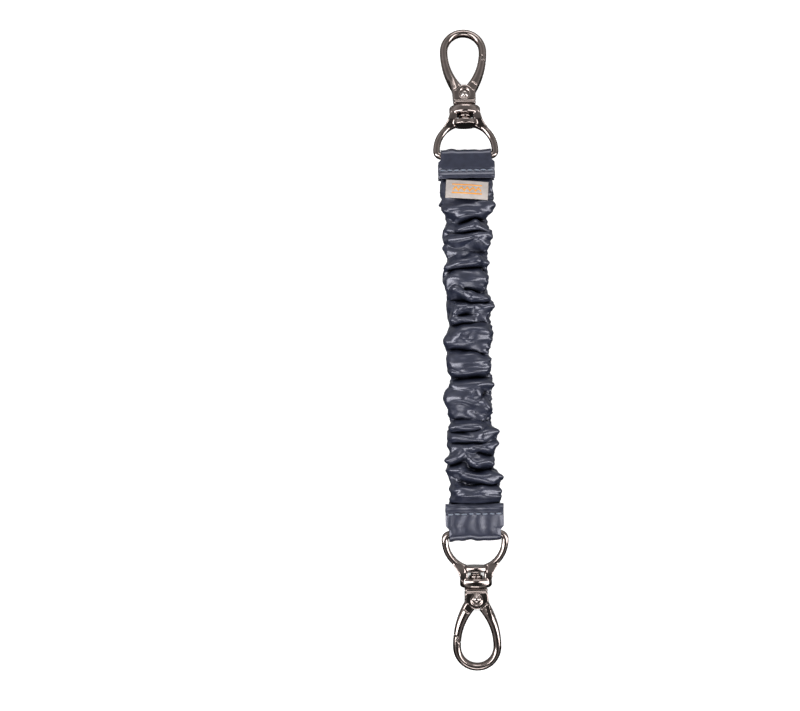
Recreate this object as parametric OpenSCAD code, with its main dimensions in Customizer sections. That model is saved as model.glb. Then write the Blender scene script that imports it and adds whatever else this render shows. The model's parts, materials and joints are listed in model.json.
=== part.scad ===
// Shock absorbing lanyard: an elastic strap in a gathered sleeve, with a swivel snap hook at each end.
// It lies flat along Y, face up, on the plane z = 0. The origin is under the middle of the strap.

/* [Strap] */
// Distance between the two hook bars, along the relaxed strap
bar_spacing = 176; // [150:1:260]
// Width of the gathered sleeve
sleeve_w = 21.5; // [20:0.5:23]
// Width of the elastic webbing inside the sleeve
elastic_w = 16; // [12:0.5:17]
// Thickness of the elastic webbing
elastic_t = 1.8; // [1:0.1:2.2]
// Width of an end tab where it is sewn to the sleeve
tab_w = 26.6; // [24:0.2:27]
// Length of the upper tab behind its bar
upper_tab_len = 11; // [10:0.5:16]
// Length of the lower tab behind its bar
lower_tab_len = 14.5; // [10:0.5:18]
// Thickness of one leg of a tab
tab_t = 0.9; // [0.6:0.1:1]

/* [Snap hook] */
// Radius of the bowl that the clip closes on
bowl_r = 7.4; // [6.8:0.1:7.6]
// Distance from the hook bar to the centre of the bowl
bowl_u = 51.3; // [50:0.1:53]
// Width of the hook's wire, seen from the front
wire_w = 3.7; // [3.2:0.1:3.9]
// Thickness of the hook's wire, front to back
wire_t = 4.6; // [4:0.1:5]

/* [Swivel eye] */
// Radius of the eye's round bar and arms
eye_wire_r = 1.65; // [1.4:0.05:1.7]
// Radius of the eye's curved arms, at the middle of the wire
eye_r = 13.75; // [13.5:0.05:14]
// Radius of the swivel stud
stud_r = 2; // [1.6:0.1:2.2]

/* [Hidden] */
$fn = 64;
eps = 0.02;
big = 200;

// Clearances: of a pin in its hole, of the stud in its collar, of the gate in the hook, and of the bar in its tab
pin_gap = 0.06;
stud_gap = 0.08;
gate_gap = 0.12;
bar_gap = 0.25;

// Swivel eye, measured outwards along the hook's axis from the bar
eye_centre_u = 2.6;
plate_u = 14.9;
window_u = 17.2;
window_end_u = 19.9;
collar_end_u = 24.3;
collar_r = 5;
yoke_half_w = 7.3;
shoulder_half_w = 10.4;
shoulder_u = 13.4;
shoulder_t = 2.8;
window_half_w = 3.9;
post_t = 7;
bar_half = sqrt(pow(eye_r, 2) - pow(eye_centre_u, 2));
bar_r = eye_wire_r - 0.1;
corner_r = eye_wire_r + 0.15;

// Hook: shank, gate pivot and ring
shank_u = 24.5;
shank_half_w = 5.25;
shank_t = 7;
slot_t = 3.4;
slot_u = 26.5;
slot_x = -3.2;
pivot_u = 29.6;
cheek_r = 4.3;
sweep_r = 5.4;
gate_block_u = 31.1;
box_end_u = 31;
ring_r = bowl_r + wire_w;
mid_r = bowl_r + wire_w / 2;
inner_side_r = 26.3;
mid_side_r = 30.6;
outer_side_r = 34.9;
nose_outer = 19.1;
nose_inner = 20.8;
tip_u = bowl_u + ring_r;

// Gate pin, its heads and the spring round it
pin_r = 1;
recess_r = 2.5;
recess_t = 0.4;
head_r = 1.9;
head_t = 0.8;
tang_t = 3.2;
tang_r = 3;
pocket_t = 1.9;
pocket_r = 2.75;
spring_r = 1.75;
spring_wire_r = 0.2;
spring_turns = 3;
spring_pitch = 0.45;

// Washer behind the eye's collar, and the peened end of the stud
washer_r = 3.1;
washer_t = 1;
washer_u = window_end_u - 0.1 - washer_t;
peen_r = 2.5;
peen_t = 0.9;

// The hook droops from its bar until the collar and the tip of the ring both stand on z = 0
droop = atan((collar_r - wire_t / 2) / (tip_u - collar_end_u));
bar_z = collar_end_u * sin(droop) + collar_r * cos(droop);
bar_y = bar_spacing / 2;

// Tab, sleeve and stitches
loop_r = eye_wire_r + bar_gap;
tab_r = loop_r + tab_t;
tab_loop_w = 22.6;
tab_widens = 2.2;
sleeve_t = 2 * bar_z;
sleeve_end_t = 3.6;
sleeve_end_w = 24;
sleeve_end_gap = 4.5;
swell = 10;
stitch_r = 0.22;
stitch_len = 2.1;
stitch_step = 2.8;
stitch_count = 9;
stitch_leg = 0.6;
upper_stitch_u = 7.2;
lower_stitch_u = 10.1;

// Label
label_w = 19.7;
label_len = 9.6;
label_t = 0.4;
label_lift = 0.1;
label_gap = 0.3;
mark_t = 0.12;
mark_w = 11.5;
mark_rule = 0.6;
mark_zigs = 5;

function on_circle(r, a) = [r * cos(a), r * sin(a)];

// Moves a hook part from its own frame, with the bar on X and the hook along +Y, to one end of the strap
module at_end(side, tilt) {
    rotate([0, 0, side > 0 ? 0 : 180])
        translate([0, bar_y, bar_z])
            rotate([tilt, 0, 0])
                children();
}

// A plate whose outline is a round bowl with two long arcs that meet in a point towards the bar
module teardrop(r, side_r, t) {
    translate([0, bowl_u, 0]) {
        cylinder(r = r, h = t, center = true);
        intersection() {
            translate([r - side_r, 0, 0]) cylinder(r = side_r, h = t, center = true);
            translate([side_r - r, 0, 0]) cylinder(r = side_r, h = t, center = true);
            translate([-big / 2, -big, -t]) cube([big, big, 2 * t]);
        }
    }
}

module ring() {
    difference() {
        teardrop(ring_r, outer_side_r, wire_t);
        teardrop(bowl_r, inner_side_r, wire_t + 1);
    }
}

// A disc about the gate's pivot
module about_pivot(r, t) {
    translate([0, pivot_u, 0]) cylinder(r = r, h = t, center = true);
}

// Everything on the gate's side of the hook
module gate_side(from_u, t) {
    translate([0, from_u, -t / 2]) cube([big, big, t]);
}

module slab(x0, x1, y0, y1, t) {
    translate([x0, y0, -t / 2]) cube([x1 - x0, y1 - y0, t]);
}

module along_y(r, u0, u1) {
    translate([0, u0, 0]) rotate([-90, 0, 0]) cylinder(r = r, h = u1 - u0);
}

module along_x(r, half) {
    translate([-half, 0, 0]) rotate([0, 90, 0]) cylinder(r = r, h = 2 * half);
}

// Cast eye: bar, two curved arms that meet it in round corners, shoulders, window and collar
module swivel_eye() {
    start = asin(eye_centre_u / eye_r);
    difference() {
        union() {
            along_x(bar_r, bar_half);
            for (s = [-1, 1]) translate([s * bar_half, 0, 0]) sphere(corner_r);
            translate([0, eye_centre_u, 0])
                rotate([0, 0, -start])
                    rotate_extrude(angle = 180 + 2 * start) translate([eye_r, 0]) circle(eye_wire_r);
            difference() {
                union() {
                    shoulders();
                    along_y(collar_r, plate_u - 1.5, collar_end_u);
                }
                translate([0, eye_centre_u, 0])
                    cylinder(r = plate_u - eye_centre_u, h = 3 * collar_r, center = true);
            }
        }
        slab(-window_half_w, window_half_w, window_u, window_end_u, 3 * collar_r);
        along_y(stud_r + stud_gap, window_u + 1, collar_end_u + 1);
    }
}

// Shoulders: as thick as the collar in the middle and as thin as the arms at the sides
module shoulders() {
    intersection() {
        linear_extrude(height = 2 * post_t, center = true)
            polygon([
                [-shoulder_half_w, shoulder_u], [shoulder_half_w, shoulder_u],
                [yoke_half_w, window_end_u], [yoke_half_w, collar_end_u],
                [-yoke_half_w, collar_end_u], [-yoke_half_w, window_end_u]
            ]);
        rotate([-90, 0, 0])
            linear_extrude(height = 2 * collar_end_u)
                polygon([
                    [-shoulder_half_w, -shoulder_t / 2], [-yoke_half_w, -post_t / 2],
                    [yoke_half_w, -post_t / 2], [shoulder_half_w, -shoulder_t / 2],
                    [shoulder_half_w, shoulder_t / 2], [yoke_half_w, post_t / 2],
                    [-yoke_half_w, post_t / 2], [-shoulder_half_w, shoulder_t / 2]
                ]);
    }
}

// Washer on the stud, under its peened end
module swivel_washer() {
    difference() {
        along_y(washer_r, washer_u, washer_u + washer_t);
        along_y(stud_r, washer_u - 1, washer_u + washer_t + 1);
    }
}

// Slot between the cheeks that the gate swings in
module gate_slot() {
    intersection() {
        about_pivot(sweep_r, slot_t);
        slab(slot_x, big, slot_u, big, slot_t);
    }
}

// Cast hook: stud, shank with two cheeks, spine and bowl
module hook() {
    difference() {
        union() {
            along_y(stud_r, washer_u - eps, shank_u + 1);
            along_y(peen_r, washer_u - peen_t, washer_u);
            slab(-shank_half_w, shank_half_w, shank_u, box_end_u, shank_t);
            about_pivot(cheek_r, shank_t);
            difference() {
                ring();
                gate_side(0, wire_t + 1);
            }
            difference() {
                ring();
                about_pivot(nose_outer + gate_gap, wire_t + 1);
                intersection() {
                    about_pivot(nose_inner + gate_gap, wire_t + 1);
                    teardrop(mid_r + gate_gap / 2, mid_side_r, wire_t + 1);
                }
            }
        }
        gate_slot();
        about_pivot(pin_r, shank_t + 1);
        for (s = [-1, 1])
            translate([0, pivot_u, s * shank_t / 2]) cylinder(r = recess_r, h = 2 * recess_t, center = true);
    }
}

// Gate: curved arm with a lapped nose, a web in the slot and two ears on the pin
module gate() {
    difference() {
        union() {
            intersection() {
                ring();
                gate_side(gate_block_u, wire_t);
                union() {
                    about_pivot(nose_outer, wire_t);
                    intersection() {
                        about_pivot(nose_inner, wire_t);
                        teardrop(mid_r - gate_gap / 2, mid_side_r, wire_t);
                    }
                }
            }
            about_pivot(tang_r, tang_t);
            intersection() {
                teardrop(ring_r, outer_side_r, tang_t);
                gate_side(pivot_u, tang_t);
                about_pivot(sweep_r - gate_gap, tang_t);
                difference() {
                    about_pivot(big, tang_t);
                    teardrop(bowl_r, inner_side_r, tang_t + 1);
                }
            }
        }
        difference() {
            about_pivot(cheek_r + gate_gap, wire_t + 1);
            about_pivot(big, tang_t);
        }
        about_pivot(pocket_r, pocket_t);
        about_pivot(pin_r + pin_gap, wire_t);
    }
}

// Pin with a low domed head at each end
module gate_pin() {
    dome_r = (pow(head_r, 2) + pow(head_t, 2)) / (2 * head_t);
    about_pivot(pin_r, shank_t - 2 * recess_t);
    for (s = [0, 1])
        translate([0, pivot_u, 0])
            mirror([0, 0, s])
                intersection() {
                    translate([0, 0, shank_t / 2 - recess_t]) cylinder(r = head_r, h = head_t);
                    translate([0, 0, shank_t / 2 - recess_t + head_t - dome_r]) sphere(dome_r);
                }
}

// Torsion spring: a short coil round the pin, swept as one tube
module gate_spring() {
    sides = 6;
    steps = spring_turns * 16;
    rise = spring_turns * spring_pitch;
    rings = [
        for (i = [0:steps])
            let (a = 200 + 360 * spring_turns * i / steps, z = rise * (i / steps - 0.5))
                [for (k = [0:sides - 1])
                    let (q = on_circle(spring_wire_r, 360 * k / sides))
                        [(spring_r + q[0]) * cos(a), (spring_r + q[0]) * sin(a), z + q[1]]]
    ];
    translate([0, pivot_u, 0])
        polyhedron(
            points = [for (r = rings) each r],
            faces = concat(
                [[for (k = [0:sides - 1]) k]],
                [for (i = [0:steps - 1], k = [0:sides - 1])
                    let (n = (k + 1) % sides)
                        [i * sides + k, (i + 1) * sides + k, (i + 1) * sides + n, i * sides + n]],
                [[for (k = [sides - 1:-1:0]) steps * sides + k]]
            )
        );
}

// Folded tab: a loop round the bar and two legs that hold the sleeve's end
module tab(len) {
    difference() {
        intersection() {
            union() {
                along_x(tab_r, tab_w / 2);
                slab(-tab_w / 2, tab_w / 2, -len, 0, 2 * tab_r);
            }
            linear_extrude(height = 4 * tab_r, center = true)
                polygon([
                    [-tab_loop_w / 2, tab_r + 1], [tab_loop_w / 2, tab_r + 1],
                    [tab_loop_w / 2, -tab_widens], [tab_w / 2, -tab_widens - 1], [tab_w / 2, -len - 1],
                    [-tab_w / 2, -len - 1], [-tab_w / 2, -tab_widens - 1], [-tab_loop_w / 2, -tab_widens]
                ]);
        }
        along_x(loop_r, tab_w);
        slab(-tab_w, tab_w, -len - 1, 0, 2 * loop_r);
    }
}

// One row of stitches on each face of a tab, each with two short legs into the cloth
module stitching(u) {
    for (s = [0, 1], i = [0:stitch_count - 1])
        mirror([0, 0, s])
            translate([(i - (stitch_count - 1) / 2) * stitch_step, -u, tab_r]) {
                along_x(stitch_r, stitch_len / 2);
                for (e = [-1, 1])
                    translate([e * stitch_len / 2, 0, -stitch_leg]) cylinder(r = stitch_r, h = stitch_leg);
                for (e = [-1, 1]) translate([e * stitch_len / 2, 0, 0]) sphere(stitch_r);
            }
}

// Half the length of the sleeve, and where it leaves each tab
sleeve_half = bar_y - sleeve_end_gap;
upper_hem_y = bar_y - upper_tab_len;
lower_hem_y = -bar_y + lower_tab_len;
body_top_y = upper_hem_y - swell;
body_low_y = lower_hem_y + swell;

// Full section of the sleeve: flat top and bottom, round sides
module sleeve_section(y0, y1) {
    r = sleeve_t / 2;
    for (s = [-1, 1]) translate([s * (sleeve_w / 2 - r), 0, 0]) along_y(r, y0, y1);
    slab(r - sleeve_w / 2, sleeve_w / 2 - r, y0, y1, sleeve_t);
}

// Short piece where the sleeve swells from its flat sewn end to its full section
module sleeve_swell(hem_y, body_y) {
    hull() {
        slab(-sleeve_end_w / 2, sleeve_end_w / 2, hem_y - eps, hem_y + eps, sleeve_end_t, $fn = 32);
        sleeve_section(body_y - eps, body_y + eps, $fn = 32);
    }
}

module sleeve() {
    translate([0, 0, bar_z])
        difference() {
            union() {
                slab(-sleeve_end_w / 2, sleeve_end_w / 2, upper_hem_y, sleeve_half, sleeve_end_t);
                slab(-sleeve_end_w / 2, sleeve_end_w / 2, -sleeve_half, lower_hem_y, sleeve_end_t);
                sleeve_swell(upper_hem_y, body_top_y);
                sleeve_swell(lower_hem_y, body_low_y);
                sleeve_section(body_low_y, body_top_y);
            }
            slab(-elastic_w / 2 - 0.3, elastic_w / 2 + 0.3, -big, big, elastic_t + 0.3);
        }
}

module elastic() {
    translate([0, 0, bar_z]) slab(-elastic_w / 2, elastic_w / 2, -sleeve_half, sleeve_half, elastic_t);
}

// Thread that closes the sleeve along its right side
module seam_thread() {
    translate([sleeve_w / 2 + stitch_r, 0, bar_z]) along_y(stitch_r, body_low_y, body_top_y);
}

// Puts a label part on the slope where the sleeve swells below the upper tab
module on_label_slope() {
    rise = sleeve_t / 2 - sleeve_end_t / 2;
    translate([0, upper_hem_y - label_gap, bar_z + sleeve_end_t / 2 + label_lift + rise * label_gap / swell])
        rotate([-atan(rise / swell), 0, 0])
            children();
}

module label_plate() {
    on_label_slope() translate([-label_w / 2, -label_len, 0.15]) cube([label_w, label_len, label_t]);
}

// Plain decoration: a zigzag between two rules
module label_decoration() {
    step = mark_w / mark_zigs;
    on_label_slope()
        translate([0, -label_len / 2, 0.15 + label_t]) {
            for (s = [-1, 1])
                translate([-mark_w / 2, s * 2.6 - mark_rule / 2, 0]) cube([mark_w, mark_rule, mark_t]);
            linear_extrude(height = mark_t)
                polygon(concat(
                    [for (i = [0:mark_zigs]) [i * step - mark_w / 2, (i % 2 == 0 ? -1.4 : 0.8)]],
                    [for (i = [mark_zigs:-1:0]) [i * step - mark_w / 2, (i % 2 == 0 ? -0.4 : 1.8)]]
                ));
        }
}

module upper_swivel_eye() { color("dimgray") at_end(1, -droop) swivel_eye(); }
module lower_swivel_eye() { color("dimgray") at_end(-1, -droop) swivel_eye(); }
module upper_swivel_washer() { color("silver") at_end(1, -droop) swivel_washer(); }
module lower_swivel_washer() { color("silver") at_end(-1, -droop) swivel_washer(); }
module upper_hook() { color("dimgray") at_end(1, -droop) hook(); }
module lower_hook() { color("dimgray") at_end(-1, -droop) hook(); }
module upper_gate() { color("gray") at_end(1, -droop) gate(); }
module lower_gate() { color("gray") at_end(-1, -droop) gate(); }
module upper_gate_pin() { color("silver") at_end(1, -droop) gate_pin(); }
module lower_gate_pin() { color("silver") at_end(-1, -droop) gate_pin(); }
module upper_gate_spring() { color("silver") at_end(1, -droop) gate_spring(); }
module lower_gate_spring() { color("silver") at_end(-1, -droop) gate_spring(); }
module upper_tab() { color("slategray") at_end(1, 0) tab(upper_tab_len); }
module lower_tab() { color("slategray") at_end(-1, 0) tab(lower_tab_len); }
module upper_tab_stitching() { color("lightsteelblue") at_end(1, 0) stitching(upper_stitch_u); }
module lower_tab_stitching() { color("gray") at_end(-1, 0) stitching(lower_stitch_u); }
module elastic_webbing() { color("dimgray") elastic(); }
module gathered_sleeve() { color("slategray") sleeve(); }
module sleeve_seam_thread() { color("darkslategray") seam_thread(); }
module label() { color("gainsboro") label_plate(); }
module label_mark() { color("orange") label_decoration(); }

upper_swivel_eye();
upper_swivel_washer();
upper_hook();
upper_gate();
upper_gate_pin();
upper_gate_spring();
upper_tab();
upper_tab_stitching();
lower_swivel_eye();
lower_swivel_washer();
lower_hook();
lower_gate();
lower_gate_pin();
lower_gate_spring();
lower_tab();
lower_tab_stitching();
elastic_webbing();
gathered_sleeve();
sleeve_seam_thread();
label();
label_mark();
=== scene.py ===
import json
import math
import random

import bmesh
import bpy
from mathutils import Matrix, Vector, noise


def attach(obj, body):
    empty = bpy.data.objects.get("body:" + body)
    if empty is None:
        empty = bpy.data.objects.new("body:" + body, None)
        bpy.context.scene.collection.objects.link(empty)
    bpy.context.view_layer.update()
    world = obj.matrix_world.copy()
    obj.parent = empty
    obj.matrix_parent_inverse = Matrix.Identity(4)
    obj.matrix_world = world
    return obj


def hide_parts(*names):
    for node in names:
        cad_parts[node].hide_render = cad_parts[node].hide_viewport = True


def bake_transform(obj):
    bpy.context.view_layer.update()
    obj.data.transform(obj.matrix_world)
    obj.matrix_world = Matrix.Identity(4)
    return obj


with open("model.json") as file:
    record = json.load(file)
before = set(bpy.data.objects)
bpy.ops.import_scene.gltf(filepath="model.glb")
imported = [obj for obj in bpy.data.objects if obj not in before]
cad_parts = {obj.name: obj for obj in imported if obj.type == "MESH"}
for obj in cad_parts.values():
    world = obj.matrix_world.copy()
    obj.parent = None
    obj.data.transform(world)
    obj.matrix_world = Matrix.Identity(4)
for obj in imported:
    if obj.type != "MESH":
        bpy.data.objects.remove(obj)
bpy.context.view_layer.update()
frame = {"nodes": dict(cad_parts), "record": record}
scene = bpy.context.scene

mm = 0.001
joints = {joint["name"]: joint for joint in frame["record"]["behaviour"]["joints"]}
barY = joints["upper_eye_pivot"]["pos_m"][1] / mm
barZ = joints["upper_eye_pivot"]["pos_m"][2] / mm
swivelAxis = joints["upper_swivel"]["axis"]
droop = math.atan2(-swivelAxis[2], swivelAxis[1])


# Matrix from a hook's own frame in mm to its end of the strap in metres.
def endPlace(side, tilt=0.0):
    turn = Matrix.Rotation(0 if side > 0 else math.pi, 4, "Z")
    return Matrix.Scale(mm, 4) @ turn @ Matrix.Translation((0, barY, barZ)) @ Matrix.Rotation(-tilt, 4, "X")


def linked(name, bm):
    mesh = bpy.data.meshes.new(name)
    bm.to_mesh(mesh)
    bm.free()
    obj = bpy.data.objects.new(name, mesh)
    scene.collection.objects.link(obj)
    return obj


# Applies the modifiers of an object to its mesh.
def applied(obj):
    graph = bpy.context.evaluated_depsgraph_get()
    graph.update()
    mesh = bpy.data.meshes.new_from_object(obj.evaluated_get(graph))
    old = obj.data
    obj.modifiers.clear()
    obj.data = mesh
    bpy.data.meshes.remove(old)
    return obj


def dropped(*objs):
    for obj in objs:
        mesh = obj.data
        bpy.data.objects.remove(obj)
        bpy.data.meshes.remove(mesh)


# Cuts, joins or intersects an object with another, which is used up.
def booled(obj, other, how):
    step = obj.modifiers.new("cut", "BOOLEAN")
    step.operation = how
    step.solver = "EXACT"
    step.object = other
    applied(obj)
    dropped(other)
    return obj


def joined(name, objs):
    bm = bmesh.new()
    for obj in objs:
        bm.from_mesh(obj.data)
    dropped(*objs)
    return linked(name, bm)


# Melts overlapping shells into one skin and rounds its edges, as a polished die casting has.
def cast(obj, voxel, rounds):
    melt = obj.modifiers.new("melt", "REMESH")
    melt.mode = "VOXEL"
    melt.voxel_size = voxel
    polish = obj.modifiers.new("polish", "SMOOTH")
    polish.factor = 0.5
    polish.iterations = rounds
    return applied(obj)


def cylinder(radius, low, high, axis="Z", at=(0, 0, 0), segments=64, top=None):
    bm = bmesh.new()
    bmesh.ops.create_cone(bm, cap_ends=True, cap_tris=False, segments=segments, radius1=radius,
                          radius2=radius if top is None else top, depth=high - low)
    bmesh.ops.translate(bm, verts=bm.verts, vec=(0, 0, (low + high) / 2))
    turn = {"Z": Matrix.Identity(3), "X": Matrix.Rotation(math.pi / 2, 3, "Y"),
            "Y": Matrix.Rotation(-math.pi / 2, 3, "X")}[axis]
    bmesh.ops.rotate(bm, verts=bm.verts, matrix=turn)
    bmesh.ops.translate(bm, verts=bm.verts, vec=at)
    return linked("shell", bm)


def block(low, high, edge=0.0):
    bm = bmesh.new()
    bmesh.ops.create_cube(bm, size=1)
    size = Vector(high) - Vector(low)
    bmesh.ops.scale(bm, verts=bm.verts, vec=size)
    bmesh.ops.translate(bm, verts=bm.verts, vec=(Vector(high) + Vector(low)) / 2)
    if edge:
        bmesh.ops.bevel(bm, geom=bm.edges[:], affect="EDGES", offset=edge, segments=3, profile=0.5, material=-1)
    return linked("shell", bm)


# A block drawn out along Y through rectangles given as (y, half width, half thickness).
def lofted(levels):
    bm = bmesh.new()
    y, w, t = levels[0]
    face = bm.faces.new([bm.verts.new(p) for p in ((-w, y, -t), (w, y, -t), (w, y, t), (-w, y, t))])
    for y2, w2, t2 in levels[1:]:
        out = bmesh.ops.extrude_face_region(bm, geom=[face])
        verts = [g for g in out["geom"] if isinstance(g, bmesh.types.BMVert)]
        for v in verts:
            v.co = Vector((math.copysign(w2, v.co.x), y2, math.copysign(t2, v.co.z)))
        face = [g for g in out["geom"] if isinstance(g, bmesh.types.BMFace)][0]
    bmesh.ops.recalc_face_normals(bm, faces=bm.faces)
    return linked("shell", bm)


# An elliptical drum along Y with rounded rims.
def barrel(half, deep, low, high, edge):
    bm = bmesh.new()
    bmesh.ops.create_cone(bm, cap_ends=True, segments=72, radius1=half, radius2=half, depth=high - low)
    rims = [e for e in bm.edges if abs(e.verts[0].co.z - e.verts[1].co.z) < 0.01]
    bmesh.ops.bevel(bm, geom=rims, affect="EDGES", offset=edge, segments=5, profile=0.5, material=-1)
    bmesh.ops.rotate(bm, verts=bm.verts, matrix=Matrix.Rotation(-math.pi / 2, 3, "X"))
    bmesh.ops.scale(bm, verts=bm.verts, vec=(1, 1, deep / half))
    bmesh.ops.translate(bm, verts=bm.verts, vec=(0, (low + high) / 2, 0))
    return linked("shell", bm)


# Spins an elliptical section (radial, thick) from a start point through arcs of
# (centre, degrees, steps).
def sweptTube(section, start, arcs, tilt=0.0):
    bm = bmesh.new()
    ring = bmesh.ops.create_circle(bm, cap_ends=False, radius=1, segments=28)["verts"]
    bmesh.ops.scale(bm, verts=ring, vec=(section[0], section[1], 1))
    bmesh.ops.rotate(bm, verts=ring, matrix=Matrix.Rotation(math.pi / 2, 3, "X"))
    bmesh.ops.rotate(bm, verts=ring, matrix=Matrix.Rotation(tilt, 3, "Z"))
    bmesh.ops.translate(bm, verts=ring, vec=(start[0], start[1], 0))
    last = list({e for v in ring for e in v.link_edges})
    for centre, degrees, steps in arcs:
        out = bmesh.ops.spin(bm, geom=last, cent=(centre[0], centre[1], 0), axis=(0, 0, 1),
                             angle=math.radians(degrees), steps=steps, use_merge=False)
        last = [g for g in out["geom_last"] if isinstance(g, bmesh.types.BMEdge)]
    bmesh.ops.holes_fill(bm, edges=[e for e in bm.edges if e.is_boundary], sides=0)
    bmesh.ops.recalc_face_normals(bm, faces=bm.faces)
    return bm


def linearColour(hexText):
    parts = [int(hexText[i:i + 2], 16) / 255 for i in (1, 3, 5)]
    return [p / 12.92 if p <= 0.04045 else ((p + 0.055) / 1.055) ** 2.4 for p in parts] + [1.0]


def newMaterial(name):
    material = bpy.data.materials.new(name)
    material.use_nodes = True
    tree = material.node_tree
    return material, tree, tree.nodes["Principled BSDF"]


# Adds a node; settings are attributes or input values, links are input to output socket.
def addNode(tree, kind, settings=None, links=None):
    node = tree.nodes.new(kind)
    for key, value in (settings or {}).items():
        if isinstance(key, str) and hasattr(node, key):
            setattr(node, key, value)
        else:
            node.inputs[key].default_value = value
    for key, socket in (links or {}).items():
        tree.links.new(socket, node.inputs[key])
    return node


# A colour ramp; each stop is a place with a colour or a grey level.
def ramp(tree, factor, stops):
    node = addNode(tree, "ShaderNodeValToRGB", links={"Fac": factor})
    elements = node.color_ramp.elements
    for i, (place, colour) in enumerate(stops):
        element = elements[i] if i < 2 else elements.new(place)
        element.position = place
        element.color = linearColour(colour) if isinstance(colour, str) else (colour, colour, colour, 1)
    return node


finish = {
    "castingRoughness": 0.07, "rivetRoughness": 0.1, "unevenness": 0.12,
    "cloth": "#303444", "clothDeep": "#222531", "sheen": 0.02, "gloss": 1.0,
    # painted shade in the cloth's hollows: how shut in a spot of cloth is before its colour and gloss are painted
    # black, and when it is left fully lit
    "paintedShadeReach": 0.004, "paintedShadeDark": 0.35, "paintedShadeLit": 0.8,
}


def blackNickelCasting(name, colour, roughness):
    # Zinc, pressure die cast, tumbled and plated with black nickel: a dark mirror whose skin
    # is faintly uneven, a little duller in its hollows and paler where handling has rubbed it.
    material, tree, shader = newMaterial(name)
    shader.inputs["Metallic"].default_value = 1.0
    place = addNode(tree, "ShaderNodeTexCoord")
    cloud = addNode(tree, "ShaderNodeTexNoise", {"Scale": 350.0, "Detail": 3.0, "Roughness": 0.55},
                    {"Vector": place.outputs["Object"]})
    grain = addNode(tree, "ShaderNodeTexNoise", {"Scale": 2600.0, "Detail": 2.0},
                    {"Vector": place.outputs["Object"]})
    shape = addNode(tree, "ShaderNodeNewGeometry")
    rub = addNode(tree, "ShaderNodeMapRange", {"From Min": 0.5, "From Max": 0.62, "To Min": 0.0, "To Max": 1.0},
                  {"Value": shape.outputs["Pointiness"]})
    worn = addNode(tree, "ShaderNodeMath", {"operation": "MULTIPLY"},
                   {0: rub.outputs["Result"], 1: cloud.outputs["Fac"]})
    tone = ramp(tree, cloud.outputs["Fac"], [(0.3, colour[0]), (0.7, colour[1])])
    mixed = addNode(tree, "ShaderNodeMix", {"data_type": "RGBA", 7: linearColour(colour[2])},
                    {0: worn.outputs[0], 6: tone.outputs["Color"]})
    tree.links.new(mixed.outputs[2], shader.inputs["Base Color"])
    dull = addNode(tree, "ShaderNodeMapRange", {
        "From Min": 0.3, "From Max": 0.75, "To Min": roughness, "To Max": roughness + finish["unevenness"]},
        {"Value": cloud.outputs["Fac"]})
    tree.links.new(dull.outputs["Result"], shader.inputs["Roughness"])
    bump = addNode(tree, "ShaderNodeBump", {"Strength": 0.05, "Distance": 0.0002}, {"Height": grain.outputs["Fac"]})
    tree.links.new(bump.outputs["Normal"], shader.inputs["Normal"])
    return material


def satinNylon(name):
    # Nylon satin, woven from bright flat filament: its long floats give a soft streak of light along each fold. Its
    # hollows are painted dark: an occlusion test paints shade into the colour and dims the gloss where the cloth is
    # shut in. Floats are drawn 0.7 mm apart, coarser than real.
    material, tree, shader = newMaterial(name)
    shader.inputs["Sheen Weight"].default_value = finish["sheen"]
    shader.inputs["Sheen Roughness"].default_value = 0.3
    shader.inputs["Sheen Tint"].default_value = linearColour("#9aa6cf")
    shader.inputs["Specular Tint"].default_value = linearColour("#dcd9ea")
    shader.inputs["Coat Roughness"].default_value = 0.24
    shader.inputs["Coat Tint"].default_value = linearColour("#e9ecf5")
    uv = addNode(tree, "ShaderNodeUVMap", {"uv_map": "cloth"})
    sized = addNode(tree, "ShaderNodeMapping", {"Scale": (1000.0, 1000.0, 1.0)}, {"Vector": uv.outputs["UV"]})
    weft = addNode(tree, "ShaderNodeTexWave", {"wave_type": "BANDS", "bands_direction": "DIAGONAL", "Scale": 0.63,
                                             "Distortion": 0.8, "Detail": 1.0}, {"Vector": sized.outputs["Vector"]})
    slub = addNode(tree, "ShaderNodeTexNoise", {"Scale": 0.35, "Detail": 5.0, "Roughness": 0.6},
                   {"Vector": sized.outputs["Vector"]})
    tone = ramp(tree, slub.outputs["Fac"], [(0.3, finish["clothDeep"]), (0.7, finish["cloth"])])
    thread = addNode(tree, "ShaderNodeMix", {"data_type": "RGBA", "blend_type": "MULTIPLY", 0: 0.2},
                     {6: tone.outputs["Color"], 7: weft.outputs["Color"]})
    # painted shade: an occlusion test darkens the colour in the folds' hollows
    paintedShadeTest = addNode(tree, "ShaderNodeAmbientOcclusion", {"Distance": finish["paintedShadeReach"]})
    depth = addNode(tree, "ShaderNodeMapRange", {"From Min": finish["paintedShadeDark"], "From Max": finish["paintedShadeLit"]},
                    {"Value": paintedShadeTest.outputs["AO"]})
    paintedShadeColour = addNode(tree, "ShaderNodeMix", {"data_type": "RGBA", "blend_type": "MULTIPLY", 0: 1.0},
                     {6: thread.outputs[2], 7: depth.outputs["Result"]})
    tree.links.new(paintedShadeColour.outputs[2], shader.inputs["Base Color"])
    # the same painted shade dims the coat and the specular in the hollows
    coat = addNode(tree, "ShaderNodeMath", {"operation": "MULTIPLY", 1: finish["gloss"]},
                   {0: depth.outputs["Result"]})
    tree.links.new(coat.outputs[0], shader.inputs["Coat Weight"])
    tree.links.new(depth.outputs["Result"], shader.inputs["Specular IOR Level"])
    dull = addNode(tree, "ShaderNodeMapRange", {"To Min": 0.26, "To Max": 0.36}, {"Value": slub.outputs["Fac"]})
    tree.links.new(dull.outputs["Result"], shader.inputs["Roughness"])
    weave = addNode(tree, "ShaderNodeBump", {"Strength": 0.2, "Distance": 0.00006}, {"Height": weft.outputs["Fac"]})
    tree.links.new(weave.outputs["Normal"], shader.inputs["Normal"])
    return material


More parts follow.
